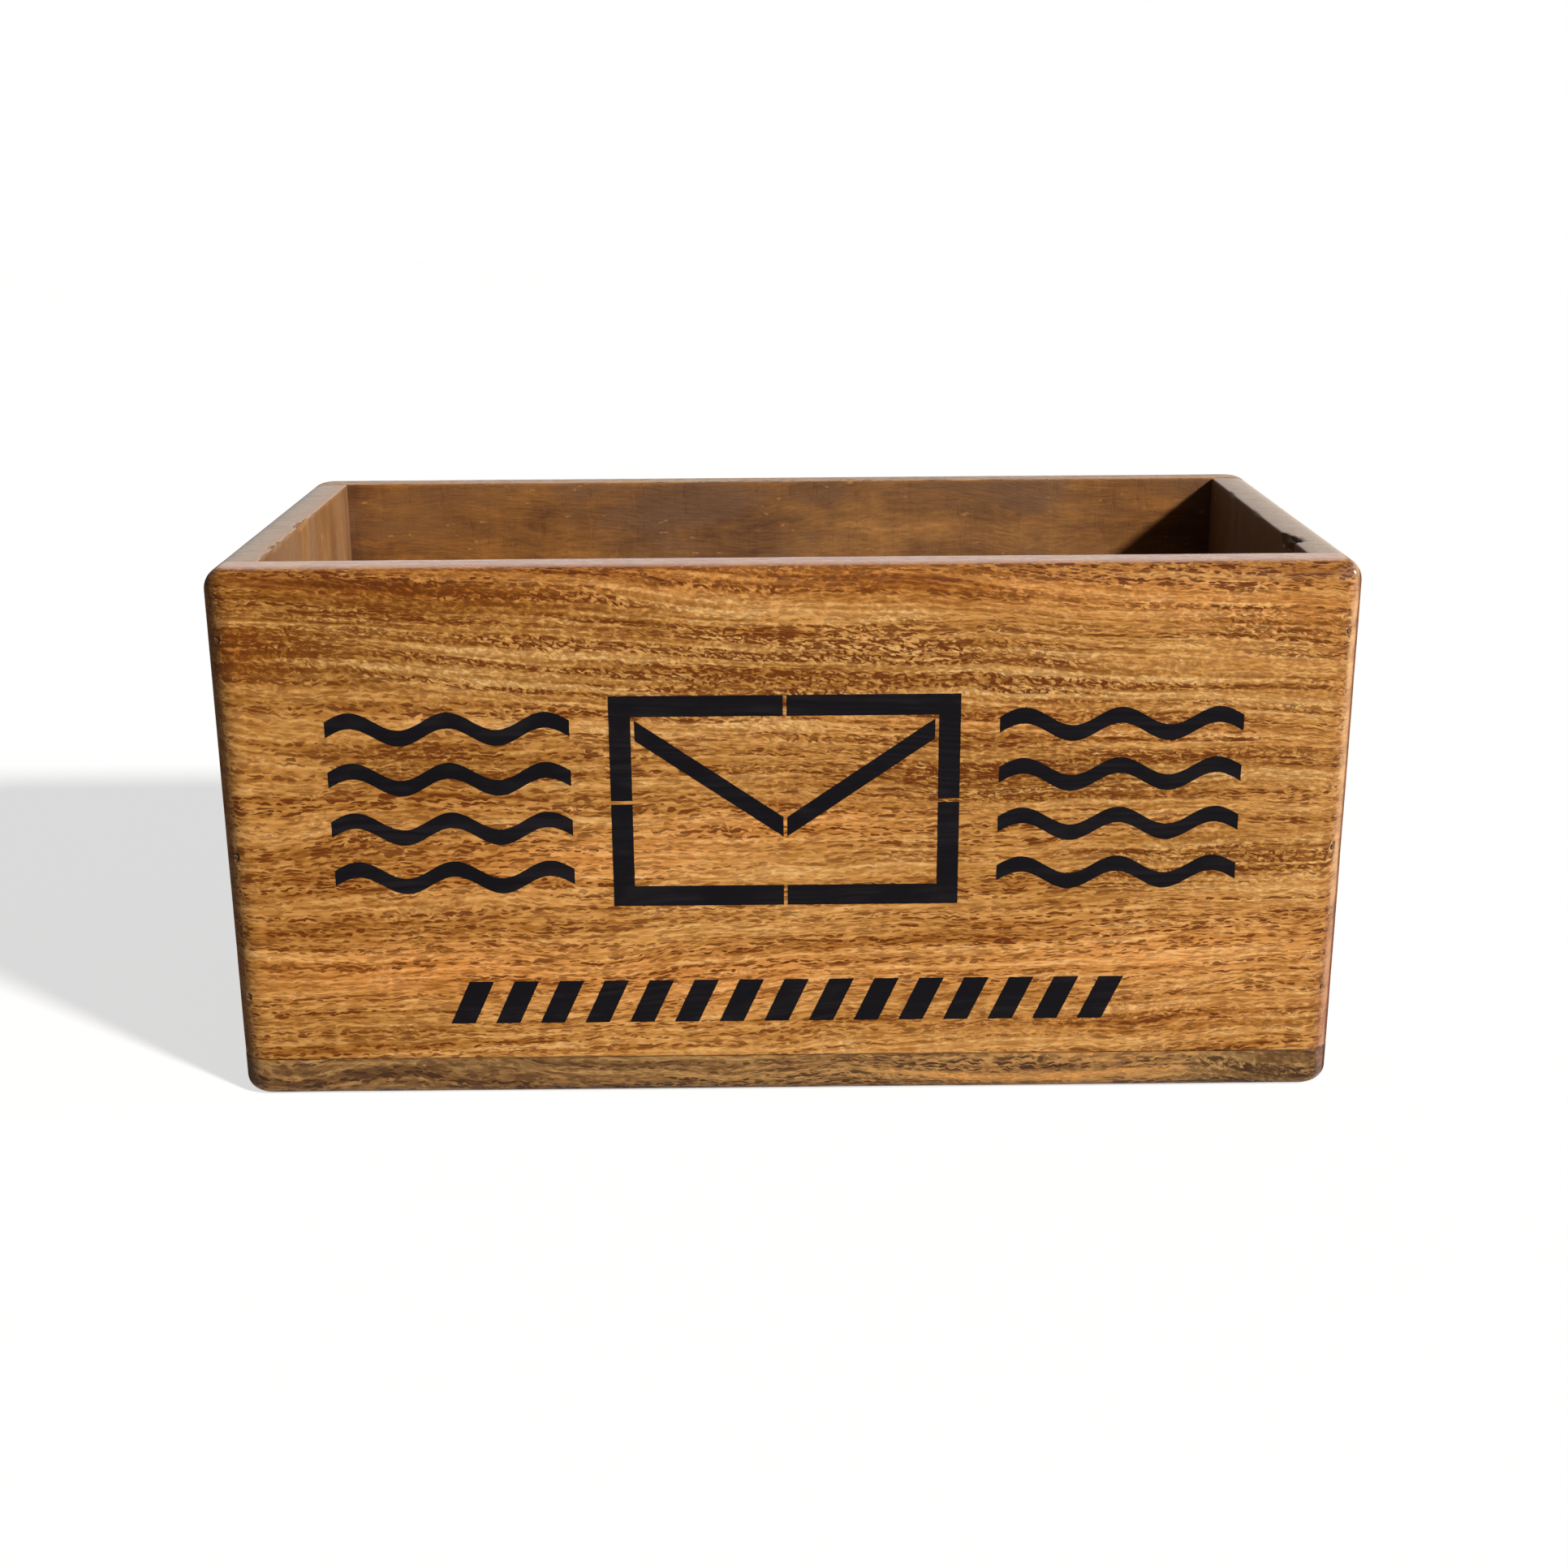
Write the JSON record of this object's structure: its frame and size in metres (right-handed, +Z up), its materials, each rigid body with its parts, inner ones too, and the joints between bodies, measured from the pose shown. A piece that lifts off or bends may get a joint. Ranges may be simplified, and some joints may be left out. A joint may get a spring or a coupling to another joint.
{
  "type": "desk letter box",
  "caption": "Open-topped rectangular wooden box for letters and cards, butt-jointed boards on a full-size base board, outside edges rounded over.",
  "frame": {"origin": "middle of the underside of the base board, where the box stands on the desk", "axes": "+X to the right along the front board, -Y out of the painted front, +Z up to the open top"},
  "size_m": [0.32, 0.158, 0.157],
  "materials": {
    "front_wood": "satin lacquer over a golden brown stain, open-grained hardwood with dark pore streaks",
    "back_wood": "satin lacquer over a golden brown stain, thinner and more open inside",
    "end_wood": "satin lacquer over a brown stain, worn grey along the sawn top edge",
    "base_wood": "satin lacquer over a darker brown stain, wavy grain",
    "bright_steel": "plain drawn wire, ends ground flush with the wood",
    "black_stencil_paint": "thin matt black paint dabbed through a stencil, a little worn"
  },
  "bodies": {
    "root": {"base_board": "base_wood", "front_board": "front_wood", "back_board": "back_wood", "left_end_board": "end_wood", "right_end_board": "end_wood", "front_left_brads": "bright_steel", "front_right_brads": "bright_steel", "back_left_brads": "bright_steel", "back_right_brads": "bright_steel", "front_base_pins": "bright_steel", "back_base_pins": "bright_steel", "left_base_pins": "bright_steel", "right_base_pins": "bright_steel"}
  },
  "joints": []
}
